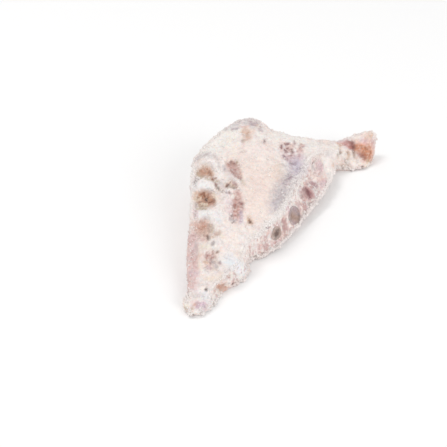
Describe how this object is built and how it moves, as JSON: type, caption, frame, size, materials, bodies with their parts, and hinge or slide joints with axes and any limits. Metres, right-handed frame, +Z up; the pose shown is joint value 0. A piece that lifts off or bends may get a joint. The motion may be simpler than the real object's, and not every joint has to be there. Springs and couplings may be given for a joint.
{
  "type": "slab of salted pork ribs",
  "caption": "Long uneven slab of raw pork ribs coated in coarse salt, inner side up, with split back bones along the left edge, sawn rib ends along the right edge and a narrow tail of meat.",
  "frame": {"origin": "middle of the footprint's box, on the ground that the slab lies on", "axes": "+Z up out of the inner side, +Y along the slab from the narrow near end to the tail, +X towards the sawn rib ends"},
  "size_m": [0.224, 0.316, 0.0699],
  "materials": {
    "meat": "matte, salt-crusted pink-white meat and fat",
    "rib_bone": "matte sawn bone, grey-brown marrow",
    "back_bone": "matte spongy bone, tan-brown, salted"
  },
  "bodies": {
    "root": {"meat_slab": "meat", "rib_bone_1": "rib_bone", "rib_bone_2": "rib_bone", "rib_bone_3": "rib_bone", "rib_bone_4": "rib_bone", "chine_bone_1": "back_bone", "chine_bone_2": "back_bone", "chine_bone_3": "back_bone", "chine_bone_4": "back_bone"}
  },
  "joints": []
}
